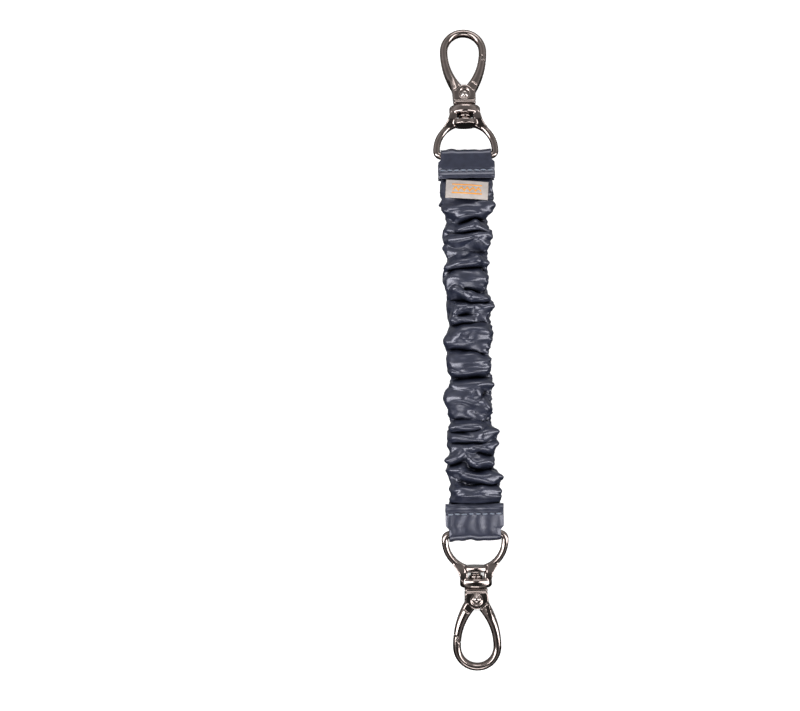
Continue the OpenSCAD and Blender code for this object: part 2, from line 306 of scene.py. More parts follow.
def twistedThread(name, colour):
    # Polyester thread, twisted: slanting plies are drawn as fine ribs 0.4 mm apart, with a bump and with painted
    # highlight and painted shade in their colour bands.
    material, tree, shader = newMaterial(name)
    shader.inputs["Sheen Weight"].default_value = 0.5
    place = addNode(tree, "ShaderNodeTexCoord")
    ply = addNode(tree, "ShaderNodeTexWave", {"bands_direction": "DIAGONAL", "Scale": 1000.0, "Distortion": 1.0},
                  {"Vector": place.outputs["Object"]})
    # painted highlight and shade: each ply band runs from the darker to the lighter colour
    tone = ramp(tree, ply.outputs["Fac"], [(0.2, colour[0]), (0.8, colour[1])])
    tree.links.new(tone.outputs["Color"], shader.inputs["Base Color"])
    shader.inputs["Roughness"].default_value = 0.55
    bump = addNode(tree, "ShaderNodeBump", {"Strength": 0.5, "Distance": 0.00008}, {"Height": ply.outputs["Fac"]})
    tree.links.new(bump.outputs["Normal"], shader.inputs["Normal"])
    return material


def wovenRibbon(name, colour, scale):
    # Polyester label ribbon or elastic, plain woven: a fine grid of dull threads.
    material, tree, shader = newMaterial(name)
    shader.inputs["Sheen Weight"].default_value = 0.3
    shader.inputs["Roughness"].default_value = 0.7
    place = addNode(tree, "ShaderNodeTexCoord")
    warp = addNode(tree, "ShaderNodeTexWave", {"bands_direction": "X", "Scale": scale, "Distortion": 0.4},
                   {"Vector": place.outputs["Object"]})
    weft = addNode(tree, "ShaderNodeTexWave", {"bands_direction": "Y", "Scale": scale, "Distortion": 0.4},
                   {"Vector": place.outputs["Object"]})
    grid = addNode(tree, "ShaderNodeMath", {"operation": "MULTIPLY"},
                   {0: warp.outputs["Fac"], 1: weft.outputs["Fac"]})
    dirt = addNode(tree, "ShaderNodeTexNoise", {"Scale": 260.0, "Detail": 4.0}, {"Vector": place.outputs["Object"]})
    both = addNode(tree, "ShaderNodeMath", {"operation": "MULTIPLY_ADD", 1: 0.5},
                   {0: grid.outputs[0], 2: dirt.outputs["Fac"]})
    tone = ramp(tree, both.outputs[0], [(0.35, colour[0]), (0.85, colour[1])])
    tree.links.new(tone.outputs["Color"], shader.inputs["Base Color"])
    bump = addNode(tree, "ShaderNodeBump", {"Strength": 0.4, "Distance": 0.00008}, {"Height": grid.outputs[0]})
    tree.links.new(bump.outputs["Normal"], shader.inputs["Normal"])
    return material


def drawnSpringWire(name):
    # Bare spring steel wire, drawn and coiled: grey, with fine lengthwise drawing marks.
    material, tree, shader = newMaterial(name)
    shader.inputs["Metallic"].default_value = 1.0
    place = addNode(tree, "ShaderNodeTexCoord")
    marks = addNode(tree, "ShaderNodeTexNoise", {"Scale": 4000.0, "Detail": 2.0}, {"Vector": place.outputs["Object"]})
    tone = ramp(tree, marks.outputs["Fac"], [(0.3, "#8f8f91"), (0.7, "#b9b9bb")])
    tree.links.new(tone.outputs["Color"], shader.inputs["Base Color"])
    rough = addNode(tree, "ShaderNodeMapRange", {"To Min": 0.25, "To Max": 0.45}, {"Value": marks.outputs["Fac"]})
    tree.links.new(rough.outputs["Result"], shader.inputs["Roughness"])
    return material


casting = blackNickelCasting("black nickel plated zinc casting", ("#9a8d88", "#a59894", "#c8beb9"),
                             finish["castingRoughness"])
plated = blackNickelCasting("black nickel plated steel rivet", ("#a79b97", "#b3a8a4", "#d6d0cc"),
                             finish["rivetRoughness"])
satin = satinNylon("blue grey nylon satin")
# each thread's two colours are its painted shade and its painted highlight on the plies
tabThread = twistedThread("thick polyester thread", ("#5a6274", "#828c9f"))
seamThread = twistedThread("thin polyester thread", ("#2e3243", "#474d62"))
ribbon = wovenRibbon("pale woven polyester ribbon", ("#a89f9a", "#c4bab5"), 700.0)
ribbonPrint = wovenRibbon("orange woven polyester", ("#e58c1a", "#ffb03a"), 700.0)
elasticWeb = wovenRibbon("woven elastic webbing", ("#1d1e22", "#3a3b40"), 300.0)
springWire = drawnSpringWire("bare spring steel wire")
print("materials made")


# Names a piece, gives it its material, hides its CAD nodes and, unless it stretches between two bodies, ties it to
# its body.
def finished(obj, name, body, material, nodes):
    obj.name = name
    obj.data.name = name
    obj.data.materials.clear()
    obj.data.materials.append(material)
    for face in obj.data.polygons:
        face.use_smooth = True
    if body:
        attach(obj, body)
    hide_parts(*nodes)
    return obj


# Each end's metal is in its own frame: the tab's bar is at y 0 and the hook points along +Y, in mm.
eye = {
    "armRadius": 13.75, "armCentre": 2.6, "wire": 1.65, "bar": 1.6, "bend": 2.3,
    "plate": 14.9, "window": 17.2, "windowEnd": 19.9, "collarEnd": 24.3, "windowHalf": 3.9,
    "plateHalf": 6.1, "collarHalf": 7.35, "collarDeep": 5.0, "collarRound": 1.5, "plateRound": 0.5, "bore": 2.08,
    "shoulders": [(12.4, 11.3, 1.2), (13.8, 10.5, 1.6), (15.4, 9.2, 2.3), (17.2, 8.1, 3.0), (19.9, 7.3, 3.3),
                  (22.3, 6.4, 2.9)],
    "voxel": 0.24, "polish": 7,
}


# The D-shaped eye: bar and arms, shoulders, inner plate, window and collar with the stud's bore.
def swivelEye():
    bend, centre = eye["bend"], eye["armCentre"]
    reach = math.sqrt((eye["armRadius"] - bend) ** 2 - (centre - bend) ** 2)
    dip = math.degrees(math.atan2(centre - bend, reach))
    arms = linked("shell", sweptTube((eye["wire"], eye["wire"]), (reach, 0), [
        ((reach, bend), 90 - dip, 12), ((0, centre), 180 + 2 * dip, 56), ((-reach, bend), 90 - dip, 12)],
        -math.pi / 2))
    bar = cylinder(eye["bar"], -reach, reach, "X", segments=40)
    inside = cylinder(eye["plate"] - eye["armCentre"], -9, 9, at=(0, eye["armCentre"], 0), segments=96)
    window = block((-eye["windowHalf"], eye["window"], -9), (eye["windowHalf"], eye["windowEnd"], 9))
    shoulders = booled(lofted(eye["shoulders"]), inside, "DIFFERENCE")
    plate = barrel(eye["plateHalf"], eye["collarDeep"], eye["plate"] - 0.3, eye["window"], eye["plateRound"])
    collar = barrel(eye["collarHalf"], eye["collarDeep"], eye["windowEnd"], eye["collarEnd"], eye["collarRound"])
    body = cast(joined("eye", [arms, bar, shoulders, plate, collar]), eye["voxel"], 1)
    booled(body, window, "DIFFERENCE")
    booled(body, cylinder(eye["bore"], eye["window"] + 0.5, eye["collarEnd"] + 1, "Y"), "DIFFERENCE")
    return cast(body, eye["voxel"], eye["polish"])


hook = {
    "bowl": 51.3, "bowlRadius": 9.25, "sideRadius": 30.6, "half": 1.85, "thick": 2.3, "spread": 0.66, "noseTurn": 18,
    "pivot": 29.6, "shankHalf": 5.25, "shankThick": 3.5, "shankLow": 24.55, "shankHigh": 31.6,
    "cheek": 4.35, "stud": 2.0, "recess": 2.55, "recessDeep": 0.45, "slot": 1.75,
    "noseOuter": 19.05, "noseInner": 20.8, "split": 9.25, "gap": 0.22, "groove": 25.9, "grooveWide": 0.55,
    "grooveDeep": 0.45, "studLow": 18.8, "studHigh": 25.2, "peen": 2.5, "peenTop": 2.1, "peenLow": 17.9,
    "peenHigh": 18.9, "slotRound": 5.4, "slotLeft": 3.2, "slotLow": 26.5, "pinHole": 1.0,
    # y, half width, half thickness
    "rail": [(27.0, 1.2, 3.3), (31.5, 1.3, 3.0), (36.0, 1.1, 2.4), (41.0, 0.8, 1.9)],
    "panel": [(33.6, 0.75, 1.0), (36.5, 0.95, 1.0), (42.2, 0.5, 1.0)],
    # how far the rail and the panel are from the middle, where they start to lean out, and how much
    "railAt": 4.05, "railFrom": 30.5, "railLean": 0.30, "panelAt": 1.9, "panelFrom": 33.0, "panelLean": 0.42,
    "panelUp": 2.85, "shankEdge": 0.55, "coreEdge": 0.4,
    "voxel": 0.24, "polish": 7,
}
# half length of a cutter that goes right through a hook
through = 5


# The hook's ring, deeper towards the pivot: its gate side alone, or its nose, bowl and spine.
def ringTube(gateSide):
    r, side, bowl = hook["bowlRadius"], hook["sideRadius"], hook["bowl"]
    turn = math.degrees(math.asin(0.985 * math.sqrt(side ** 2 - (side - r) ** 2) / side))
    first = turn if gateSide else hook["noseTurn"]
    a = math.radians(first)
    start = (r - side + side * math.cos(a), bowl - side * math.sin(a))
    arcs = [((r - side, bowl), first, 30)]
    if not gateSide:
        arcs += [((0, bowl), 180, 48), ((side - r, bowl), turn, 30)]
    bm = sweptTube((hook["half"], hook["thick"]), start, arcs, -a)
    for v in bm.verts:
        below = max(0.0, bowl - v.co.y)
        middle = r - side + math.sqrt(max(side ** 2 - below ** 2, 0.0))
        grow = 1 + hook["spread"] * (below / 20.3) ** 2
        if below > 0 and abs(v.co.x) > 0.01:
            v.co.x = math.copysign(middle + (abs(v.co.x) - middle) * grow, v.co.x)
    return bm


# A half disc about the gate's pivot, on the gate's side.
def halfDisc(radius, thick, low=0.0):
    disc = cylinder(radius, -thick, thick, at=(0, hook["pivot"], 0), segments=128)
    return booled(disc, block((low, -40, -thick - 1), (40, 80, thick + 1)), "INTERSECT")


# The space within the teardrop line on which the gate's lip laps the hook's nose.
def insideSplit(radius):
    side = hook["sideRadius"]
    lens = cylinder(side, -4, 4, at=(radius - side, hook["bowl"], 0), segments=256)
    booled(lens, cylinder(side, -4, 4, at=(side - radius, hook["bowl"], 0), segments=256), "INTERSECT")
    booled(lens, block((-40, -40, -5), (40, hook["bowl"], 5)), "INTERSECT")
    return booled(lens, cylinder(radius, -4, 4, at=(0, hook["bowl"], 0), segments=128), "UNION")


# The shank with its stud, cheeks, spine rail and sunk panel, the bowl, and the slot for the gate.
def hookBody():
    ring = linked("shell", ringTube(False))
    booled(ring, halfDisc(hook["noseOuter"] + hook["gap"], through), "DIFFERENCE")
    lap = booled(insideSplit(hook["split"] + hook["gap"] / 2),
                 halfDisc(hook["noseInner"] + hook["gap"], through), "INTERSECT")
    booled(ring, lap, "DIFFERENCE")
    shank = block((-hook["shankHalf"], hook["shankLow"], -hook["shankThick"]),
                  (hook["shankHalf"], hook["shankHigh"], hook["shankThick"]), hook["shankEdge"])
    cheeks = cylinder(hook["cheek"], -hook["shankThick"], hook["shankThick"], at=(0, hook["pivot"], 0), segments=72)
    rail = lofted(hook["rail"])
    for v in rail.data.vertices:  # it leans outwards, from the shank down the spine
        v.co.x -= hook["railAt"] + max(0.0, v.co.y - hook["railFrom"]) * hook["railLean"]
    stud = cylinder(hook["stud"], hook["studLow"], hook["studHigh"], "Y", segments=48)
    peen = cylinder(hook["peen"], hook["peenLow"], hook["peenHigh"], "Y", segments=48, top=hook["peenTop"])
    body = cast(joined("hook", [ring, shank, cheeks, rail, stud, peen]), hook["voxel"], 1)
    groove = block((-7, hook["groove"], -through), (7, hook["groove"] + hook["grooveWide"], through))
    core = Vector((hook["shankHalf"] - hook["grooveDeep"], 0, hook["shankThick"] - hook["grooveDeep"]))
    core = block(Vector((0, 20, 0)) - core, Vector((0, 32, 0)) + core, hook["coreEdge"])
    booled(body, booled(groove, core, "DIFFERENCE"), "DIFFERENCE")
    for s in (-1, 1):
        booled(body, cylinder(hook["recess"], -hook["recessDeep"], hook["recessDeep"],
                              at=(0, hook["pivot"], s * hook["shankThick"])), "DIFFERENCE")
        panel = lofted(hook["panel"])
        for v in panel.data.vertices:  # it is sunk between the rail and the opening
            v.co.x -= hook["panelAt"] + (v.co.y - hook["panelFrom"]) * hook["panelLean"]
            v.co.z += s * hook["panelUp"]
        booled(body, panel, "DIFFERENCE")
    cast(body, hook["voxel"], hook["polish"])
    room = booled(cylinder(hook["slotRound"], -hook["slot"], hook["slot"], at=(0, hook["pivot"], 0)),
                  block((-hook["slotLeft"], hook["slotLow"], -3), (9, 40, 3)), "INTERSECT")
    booled(body, room, "DIFFERENCE")
    pinHole = cylinder(hook["pinHole"], -through, through, at=(0, hook["pivot"], 0), segments=32)
    return booled(body, pinHole, "DIFFERENCE")


gate = {"step": 7.4, "web": 1.75, "ear": 3.0, "earThick": 1.6, "root": 4.5, "tang": 5.3, "inset": 0.1,
        "springRoom": 2.7, "springHalf": 0.95, "pinHole": 1.06, "voxel": 0.2, "polish": 5}


# A part of the gate's side of the ring that lies within one shape and outside a disc at the pivot.
def gateSlice(within, clear):
    part = booled(linked("shell", ringTube(True)), within, "INTERSECT")
    if clear:
        booled(part, cylinder(clear, -through, through, at=(0, hook["pivot"], 0)), "DIFFERENCE")
    return part


# The gate: its arm, the lip that laps the nose, the web and tang in the slot, and the ears.
def gateLever():
    at, inset = (0, hook["pivot"], 0), gate["inset"]
    lap = booled(insideSplit(hook["split"] - hook["gap"] / 2), halfDisc(hook["noseInner"], through, inset),
                 "INTERSECT")
    parts = [gateSlice(halfDisc(hook["noseOuter"], through, inset), gate["step"]),
             gateSlice(lap, gate["step"] + 4),
             gateSlice(halfDisc(gate["step"] + 0.6, gate["web"], inset), gate["root"]),
             gateSlice(halfDisc(gate["tang"], gate["earThick"], inset), 0),
             cylinder(gate["ear"], -gate["earThick"], gate["earThick"], at=at)]
    body = cast(joined("gate", parts), gate["voxel"], gate["polish"])
    booled(body, cylinder(gate["springRoom"], -gate["springHalf"], gate["springHalf"], at=at), "DIFFERENCE")
    return booled(body, cylinder(gate["pinHole"], -through, through, at=at, segments=32), "DIFFERENCE")


# A profile spun fully about an axis. The caller merges its doubled points.
def turned(points, closed, axis):
    bm = bmesh.new()
    verts = [bm.verts.new(point) for point in points]
    edges = [bm.edges.new(pair) for pair in zip(verts, verts[1:] + (verts[:1] if closed else []))]
    bmesh.ops.spin(bm, geom=edges, cent=(0, 0, 0), axis=axis, angle=math.tau, steps=40, use_merge=True)
    return bm


# radius, height above the middle of the hook
rivetProfile = [(0, 4.05), (0.45, 4.02), (0.9, 3.9), (1.25, 3.7), (1.5, 3.45), (1.62, 3.25), (1.9, 3.22),
                (1.95, 3.05), (1.0, 3.02), (1.0, 0)]


# A rivet with a flat rim and a dome at each end, on the gate's pivot.
def rivet():
    bm = turned([(x, 0, z) for x, z in rivetProfile], False, (0, 0, 1))
    bmesh.ops.mirror(bm, geom=bm.verts[:] + bm.edges[:] + bm.faces[:], axis="Z", merge_dist=0.001)
    bmesh.ops.remove_doubles(bm, verts=bm.verts, dist=0.001)
    bmesh.ops.recalc_face_normals(bm, faces=bm.faces)
    bmesh.ops.translate(bm, verts=bm.verts, vec=(0, hook["pivot"], 0))
    return linked("rivet", bm)


# radius, y
washerProfile = [(2.0, 18.82), (2.95, 18.82), (3.08, 18.95), (3.08, 19.65), (2.95, 19.78), (2.0, 19.78)]


def washer():
    bm = turned([(x, y, 0) for x, y in washerProfile], True, (0, 1, 0))
    bmesh.ops.remove_doubles(bm, verts=bm.verts, dist=0.001)
    bmesh.ops.recalc_face_normals(bm, faces=bm.faces)
    return linked("washer", bm)


# Makes one hook part and places a copy at each end of the strap.
def bothEnds(make, name, bodySuffix, slot, material):
    part = make()
    for end, side in (("upper", 1), ("lower", -1)):
        copy = bpy.data.objects.new(part.name, part.data.copy())
        scene.collection.objects.link(copy)
        copy.data.transform(endPlace(side, droop))
        finished(copy, f"{end}_{name}_casting" if slot == "gunmetal_casting" else f"{end}_{name}_piece",
                 f"{end}_{bodySuffix}", material, [f"{end}_{name}"])
    dropped(part)
    print("made", name)


bothEnds(swivelEye, "swivel_eye", "eye", "gunmetal_casting", casting)
bothEnds(hookBody, "hook", "hook_body", "gunmetal_casting", casting)
bothEnds(gateLever, "gate", "gate_lever", "gunmetal_casting", casting)
bothEnds(rivet, "gate_pin", "hook_body", "plated_steel", plated)
bothEnds(washer, "swivel_washer", "hook_body", "gunmetal_casting", casting)
for end in ("upper", "lower"):
    frame["nodes"][f"{end}_gate_spring"].data.materials.clear()
    frame["nodes"][f"{end}_gate_spring"].data.materials.append(springWire)


def smoothStep(low, high, value):
    t = min(1.0, max(0.0, (value - low) / (high - low)))
    return t * t * (3 - 2 * t)


# A grid whose points are placed by place(s, t), with s and t from 0 to 1, and a UV map in metres.
def gridSheet(across, along, place, uvSize, wrap=False):
    bm = bmesh.new()
    bmesh.ops.create_grid(bm, x_segments=across, y_segments=along, size=0.5)
    uv = bm.loops.layers.uv.new("cloth")
    for face in bm.faces:
        for loop in face.loops:
            s, t = loop.vert.co.x + 0.5, loop.vert.co.y + 0.5
            loop[uv].uv = (s * uvSize[0], t * uvSize[1])
    for v in bm.verts:
        v.co = Vector(place(v.co.x + 0.5, v.co.y + 0.5))
    if wrap:
        bmesh.ops.remove_doubles(bm, verts=bm.verts, dist=0.0005)
    bmesh.ops.recalc_face_normals(bm, faces=bm.faces)
    return bm


# Gives a sheet its thickness, half on each side.
def thickened(obj, thickness):
    solid = obj.modifiers.new("thickness", "SOLIDIFY")
    solid.thickness = thickness
    solid.offset = 0.0
    return applied(obj)


# Turns a piece modelled in the strap's own frame from mm to metres.
def toMetres(obj):
    obj.data.transform(Matrix.Scale(mm, 4))
    return obj


# Bakes into its mesh the placement of a piece that stretches between the two ends of the strap.
def stretches(obj):
    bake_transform(obj)


tab = {
    "middle": 2.38, "thickness": 0.75, "loopHalf": 11.8, "legHalf": 13.2, "widenFrom": -2.0, "widenTo": -3.8,
    "upperLength": 11.2, "lowerLength": 13.7, "upperRipple": 0.04, "lowerRipple": 0.2, "upperSeed": 3.0,
    "lowerSeed": 11.0,
    # the hem's roll and the dip along the stitches: place from the hem's edge, height and width
    "roll": (1.3, 0.45, 0.9), "dip": (4.0, -0.3, 0.7),
    # uneven edges, soft swell, puckered hem, thin side edges
    "edge": 0.012, "swell": 0.12, "pucker": 0.2, "thin": 0.25,
}


# Cloth folded round the bar: up the lower leg, round the loop and back along the upper leg.
def tabSheet(length, seed, ripple):
    radius = tab["middle"]
    arc = math.pi * radius
    total = 2 * length + arc

    def place(s, t):
        run = t * total
        x = 2 * s - 1
        if run < length:
            u, z, out = run - length, -radius, 0.0
        elif run < length + arc:
            a = (run - length) / radius - math.pi / 2
            u, z, out = radius * math.cos(a), radius * math.sin(a), math.cos(a)
        else:
            u, z, out = -(run - length - arc), radius, 0.0
        half = tab["loopHalf"] + (tab["legHalf"] - tab["loopHalf"]) * smoothStep(tab["widenFrom"], tab["widenTo"], u)
        wave = noise.noise(Vector((x * 2.6, seed, t * 2)))
        edge = 1 + tab["edge"] * noise.noise(Vector((seed + 9, u * 0.5, x)))
        hem = smoothStep(-length + 3.0, -length, u)
        lift = tab["swell"] * noise.noise(Vector((x * 1.6, u * 0.12, seed + 4)))
        lift += tab["pucker"] * hem * noise.noise(Vector((x * 3.5, 2, seed)))
        bend = 2 * noise.noise(Vector((x, u * 0.1, seed)))
        lift += ripple * math.cos(x * 8 + seed + bend) * smoothStep(2.0, -3.0, u)
        for middle, height, width in (tab["roll"], tab["dip"]):
            lift += height * math.exp(-((u + length - middle) / width) ** 2)
        u += (0.3 + 0.85 * wave) * out + 0.4 * hem * noise.noise(Vector((x * 3, 7, seed)))
        z += math.copysign(1, z) * (lift - tab["thin"] * smoothStep(0.86, 1.0, abs(x)) * (1 - out))
        return (x * half * edge, u, z)

    bm = gridSheet(44, 110, place, (2 * tab["legHalf"] * mm, total * mm))
    return thickened(linked("tab", bm), tab["thickness"]), total


for end, side in (("upper", 1), ("lower", -1)):
    piece, total = tabSheet(tab[end + "Length"], tab[end + "Seed"], tab[end + "Ripple"])
    piece.data.transform(endPlace(side))
    finished(piece, f"{end}_tab_cloth", f"{end}_end", satin, [f"{end}_tab"])

stitch = {"count": 8, "pitch": 3.15, "length": 2.7, "radius": 0.4, "height": 2.78, "upper": 7.4, "lower": 9.1,
          "sink": 0.34, "slant": 0.1, "wander": 0.12}


# Plump stitches that dive into the cloth at both ends, one row on each face of a tab.
def stitchRow(u, seed):
    rnd = random.Random(seed)
    bm = bmesh.new()
    for face in (1, -1):
        for i in range(stitch["count"]):
            made = bmesh.ops.create_uvsphere(bm, u_segments=12, v_segments=8, radius=1)["verts"]
            long = stitch["length"] / 2 * rnd.uniform(0.92, 1.06)
            bmesh.ops.scale(bm, verts=made, vec=(long, stitch["radius"], stitch["radius"]))
            for v in made:
                v.co.z -= stitch["sink"] * (v.co.x / long) ** 4
            slant = rnd.uniform(-stitch["slant"], stitch["slant"])
            bmesh.ops.rotate(bm, verts=made, matrix=Matrix.Rotation(slant, 3, "Z"))
            x = (i - (stitch["count"] - 1) / 2) * stitch["pitch"]
            wander = rnd.uniform(-stitch["wander"], stitch["wander"])
            bmesh.ops.translate(bm, verts=made, vec=(x, -u + wander, stitch["height"]))
            if face < 0:
                bmesh.ops.scale(bm, verts=made, vec=(1, 1, -1))
    bmesh.ops.recalc_face_normals(bm, faces=bm.faces)
    return linked("stitches", bm)


for end, side in (("upper", 1), ("lower", -1)):
    piece = stitchRow(stitch[end], side + 5)
    piece.data.transform(endPlace(side))
    finished(piece, f"{end}_tab_stitches", f"{end}_end", tabThread, [f"{end}_tab_stitching"])
print("made tabs and stitches")

sleeve = {
    "top": 79.0, "bottom": -77.0, "around": 96, "along": 430, "halfThick": 5.3, "hemHalfThick": 1.15,
    "flatAround": 58.0, "flatAlong": 250.0, "cloth": 0.3, "depth": 2.7, "most": 2.5,
    # how square the section is across and up, and how far the folds wander
    "squareX": 0.85, "squareZ": 0.75, "warp": 3.0,
    # broad puffs, fine puffs, the seam's ruffle, and the least height above the surface
    "broad": 1.3, "fine": 0.15, "ruffle": 0.5, "floor": 0.2,
    # y, left edge, right edge
    "outline": [
        (79.0, -11.8, 11.8), (73.0, -12.0, 12.2), (64.2, -12.0, 12.5), (57.5, -9.6, 9.0), (52.0, -11.6, 10.3),
        (48.0, -10.8, 10.9), (42.5, -11.2, 8.9), (38.6, -10.0, 9.4), (30.4, -12.4, 8.6), (26.5, -11.2, 8.2),
        (24.1, -10.3, 7.6), (17.1, -11.0, 11.0), (12.0, -9.4, 8.8), (7.6, -9.4, 10.4), (0.2, -12.2, 10.1),
        (-5.6, -11.0, 8.6), (-10.8, -10.5, 8.8), (-18.9, -8.9, 10.1), (-24.6, -12.8, 9.0), (-32.1, -10.8, 9.4),
        (-37.3, -10.0, 8.9), (-41.4, -11.4, 11.3), (-46.5, -11.6, 11.0), (-51.5, -10.5, 10.0), (-54.7, -12.9, 9.8),
        (-56.6, -10.2, 9.2), (-58.3, -12.2, 9.4), (-62.1, -10.5, 12.8), (-67.6, -10.6, 12.0), (-70.1, -10.6, 12.0),
        (-77.0, -12.0, 12.0)],
    # x0, y0, x1, y1, width, height: raised rolls and sunk creases on the face
    "folds": [
        (-11.3, 61.4, 11.8, 62.8, 2.3, 0.9), (-7.6, 55.6, 7.2, 57.2, 1.8, -1.6), (-4.8, 58.4, 6.3, 59.6, 1.6, 1.1),
        (-10.3, 58.0, -6.7, 56.6, 2.3, -1.2), (9.0, 62.8, 11.8, 59.0, 2.3, 0.8), (-8.1, 51.9, 3.6, 54.5, 1.6, 1.3),
        (3.6, 54.5, 9.1, 51.1, 1.6, 1.2), (-10.3, 51.0, -7.5, 51.4, 1.8, -2.2), (-6.6, 50.0, 8.2, 51.1, 1.4, -1.2),
        (-8.0, 48.2, 9.1, 49.7, 1.6, 1.3), (5.0, 47.0, 10.1, 44.1, 2.8, 0.9), (-7.9, 44.4, 2.7, 42.3, 2.3, -2.4),
        (-9.3, 40.2, -7.5, 40.7, 1.8, -2.0), (2.6, 41.4, 9.1, 42.7, 1.6, -1.3), (-9.3, 35.1, 3.6, 37.9, 1.6, 1.4),
        (3.6, 37.9, 8.7, 36.6, 1.8, 0.8), (-12.5, 30.0, -7.9, 33.7, 1.4, -1.5), (-7.9, 33.7, 5.5, 35.3, 1.4, -1.7),
        (5.5, 35.3, 9.2, 32.4, 1.4, -1.4), (-10.2, 29.1, 6.4, 30.1, 4.1, 1.0), (-6.5, 23.9, 0.0, 21.0, 1.6, 1.2),
        (0.0, 21.0, 8.2, 20.3, 1.6, 1.2), (-1.0, 23.3, 4.2, 22.7, 1.4, -2.2), (-10.6, 19.3, 7.4, 18.0, 1.4, -1.9),
        (5.5, 16.7, 10.2, 15.7, 2.8, 0.9), (-6.4, 15.1, -1.8, 15.9, 1.6, 1.1), (-6.4, 15.1, -7.4, 10.4, 1.6, 1.1),
        (-7.4, 10.4, 0.9, 9.4, 1.6, 1.0), (-3.3, 12.7, 1.3, 12.6, 1.8, -2.4), (-9.2, 7.7, 9.3, 8.7, 1.4, -1.8),
        (-4.5, 4.4, 6.5, 4.2, 2.8, 1.0), (-11.9, 0.8, -7.3, -0.2, 2.8, 0.9), (-0.9, 0.2, 8.4, 1.4, 1.8, 0.5),
        (-6.8, -2.5, 5.6, -6.4, 1.4, -1.9), (-11.9, -3.8, -7.2, -2.5, 1.4, -1.2), (-9.0, -9.4, 6.6, -9.2, 4.1, 1.0),
        (-8.1, -14.0, 6.6, -13.3, 1.4, 0.6), (-4.0, -16.8, 7.5, -17.0, 1.8, -2.6),
        (-9.9, -17.2, -4.4, -16.8, 1.4, -1.0), (-9.0, -19.9, 8.4, -19.8, 1.8, 1.3),
        (-10.8, -25.9, -0.8, -25.1, 4.1, 1.0), (1.9, -22.9, 6.6, -30.8, 1.4, 1.2),
        (6.6, -23.4, 3.8, -26.1, 1.4, -1.3), (1.1, -31.6, 5.7, -36.7, 1.8, -1.8),
        (-9.8, -35.5, 9.3, -36.3, 1.4, -1.7), (-10.3, -39.1, 3.0, -38.9, 1.8, 1.0),
        (-9.8, -41.4, 2.0, -40.7, 1.2, -0.9), (4.3, -43.0, 10.8, -41.8, 1.8, 1.2),
        (-8.9, -44.2, 3.9, -44.9, 1.8, 0.8), (-10.7, -46.4, 2.1, -46.6, 1.4, -1.5),
        (7.1, -48.6, 10.7, -46.8, 1.4, 1.1), (-0.6, -48.9, 7.1, -48.6, 1.6, 1.0), (3.0, -50.8, 8.5, -52.7, 1.4, -1.5),
        (-13.0, -54.5, -7.0, -53.3, 1.6, 1.2), (-11.5, -56.4, -6.0, -55.6, 1.2, -1.4),
        (-12.5, -58.2, -6.1, -58.8, 1.6, 1.1), (-4.3, -54.3, -1.5, -57.9, 1.4, -2.0),
        (-2.5, -53.8, 1.2, -56.6, 1.4, 1.1), (4.0, -55.8, 10.3, -55.0, 1.8, 0.8),
        (1.2, -59.8, 12.2, -59.1, 1.4, -1.6), (7.6, -62.2, 12.6, -62.3, 2.3, 1.1),
        (-8.8, -62.3, -3.8, -65.6, 1.8, -2.3), (-3.8, -61.5, 8.1, -64.5, 1.6, 1.2),
        (-0.5, -66.6, 11.2, -65.9, 1.4, -1.5), (-8.8, -67.8, -4.2, -69.2, 1.8, 0.8),
        (-4.7, -69.6, 2.1, -69.3, 2.8, 1.2), (4.0, -68.5, 11.7, -68.6, 1.8, 0.8),
        (-11.5, -72.5, 13.1, -72.2, 1.6, 1.4), (-11.4, -74.3, 13.1, -74.5, 1.4, -2.0)],
}


# Left and right edge of the sleeve at a place along the strap, averaged over a short length so
# that its bulges stay round.
def outlineAt(y):
    spots = [edgesAt(y + step) for step in (-1.3, -0.65, 0.0, 0.65, 1.3)]
    return sum(spot[0] for spot in spots) / len(spots), sum(spot[1] for spot in spots) / len(spots)


def edgesAt(y):
    rows = sleeve["outline"]
    y = min(y, rows[0][0])
    for (y0, l0, r0), (y1, l1, r1) in zip(rows, rows[1:]):
        if y >= y1:
            t = smoothStep(0, 1, (y0 - y) / (y0 - y1))
            return l0 + (l1 - l0) * t, r0 + (r1 - r0) * t
    return rows[-1][1], rows[-1][2]


# Height of the folds at a point of the face, and how far the cloth leans along the strap there.
# A raised roll is round with a fine crest, and a sunk crease is narrow with a sharp bottom.
def foldHeight(x, y, folds):
    height = lean = 0.0
    for x0, y0, x1, y1, width, size in folds:
        if abs(y - (y0 + y1) / 2) > abs(y1 - y0) / 2 + 3.5 * width:
            continue
        dx, dy = x1 - x0, y1 - y0
        t = min(1.0, max(0.0, ((x - x0) * dx + (y - y0) * dy) / (dx * dx + dy * dy)))
        ax, ay = x - x0 - t * dx, y - y0 - t * dy
        across = math.hypot(ax * 0.7, ay)
        if size > 0:
            drop = 0.7 * math.exp(-(across / width) ** 2) + 0.3 * math.exp(-across / (0.35 * width))
        else:
            drop = math.exp(-(across / (0.9 * width)) ** 1.15)
        height += size * drop
        lean += abs(size) * drop * math.copysign(min(1.0, abs(ay) / width), ay) * (0.45 if size > 0 else -0.3)
    return height, lean


